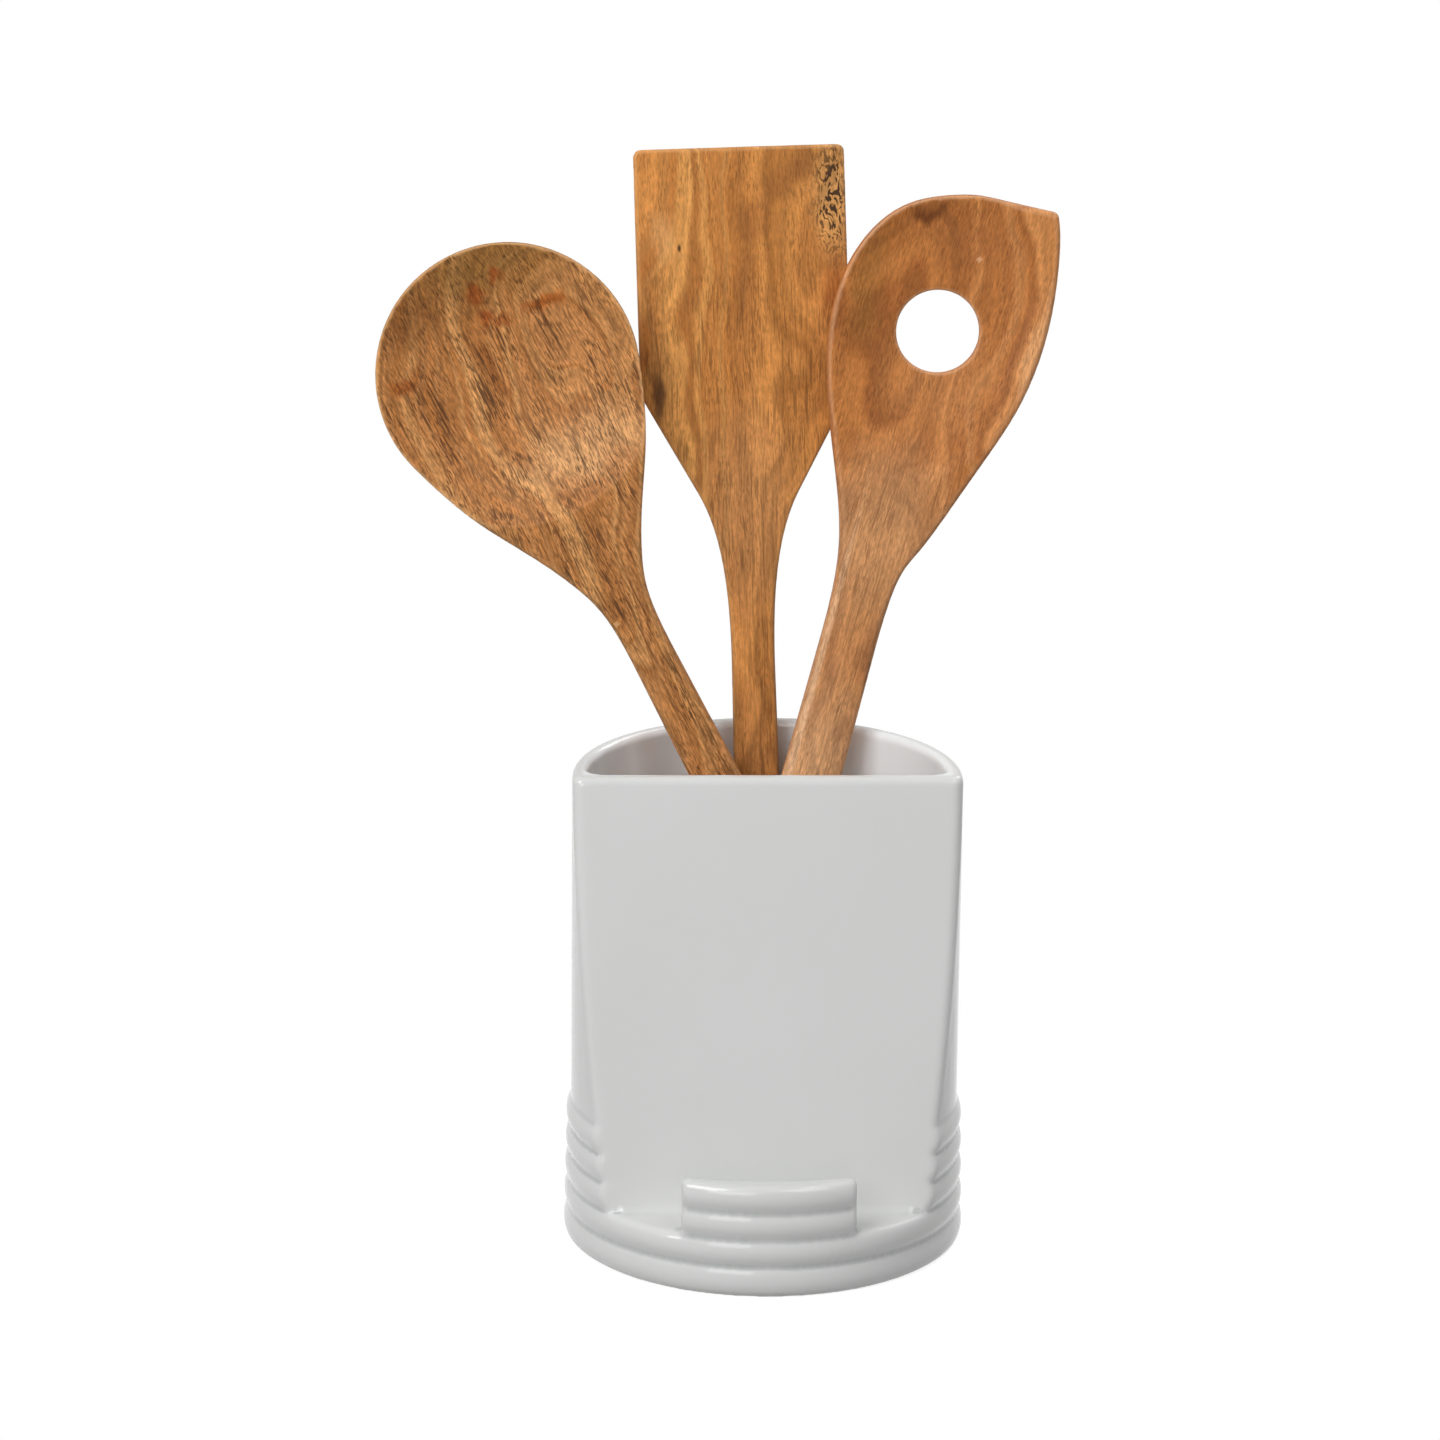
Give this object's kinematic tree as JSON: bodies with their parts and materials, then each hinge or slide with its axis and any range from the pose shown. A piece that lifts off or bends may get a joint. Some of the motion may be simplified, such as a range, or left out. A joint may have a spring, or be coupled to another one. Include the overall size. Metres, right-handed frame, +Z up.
{
  "type": "utensil crock",
  "caption": "White glazed crock with a ringed base, a slanted flat front and a lipped ledge that props a tablet or recipe card, holding a round spoon, a corner spoon and a flat turner.",
  "frame": {"origin": "centre of the crock's foot ring, on the surface it stands on", "axes": "+Z up; -Y out of the flat front with the ledge, so +Y is towards the curved back that the tools lean on; +X to the right when facing the flat front from outside"},
  "size_m": [0.2272, 0.1513, 0.3534],
  "materials": {
    "white_glazed_stoneware": "gloss",
    "oiled_brown_acacia": "oiled satin",
    "oiled_golden_acacia": "oiled satin",
    "oiled_red_brown_acacia": "oiled satin"
  },
  "bodies": {
    "crock": {"crock": "white_glazed_stoneware"},
    "round_spoon": {"round_spoon": "oiled_brown_acacia"},
    "corner_spoon": {"corner_spoon": "oiled_red_brown_acacia"},
    "flat_turner": {"flat_turner": "oiled_golden_acacia"}
  },
  "joints": [
    {"name": "round_spoon_lift", "type": "slide", "parent": "crock", "child": "round_spoon", "axis": [-0.4602, 0.1312, 0.8781], "range_m": [0, 0.165]},
    {"name": "corner_spoon_lift", "type": "slide", "parent": "crock", "child": "corner_spoon", "axis": [0.2554, 0.1429, 0.9562], "range_m": [0, 0.165]},
    {"name": "flat_turner_lift", "type": "slide", "parent": "crock", "child": "flat_turner", "axis": [-0.0349, 0.1477, 0.9884], "range_m": [0, 0.16]}
  ]
}
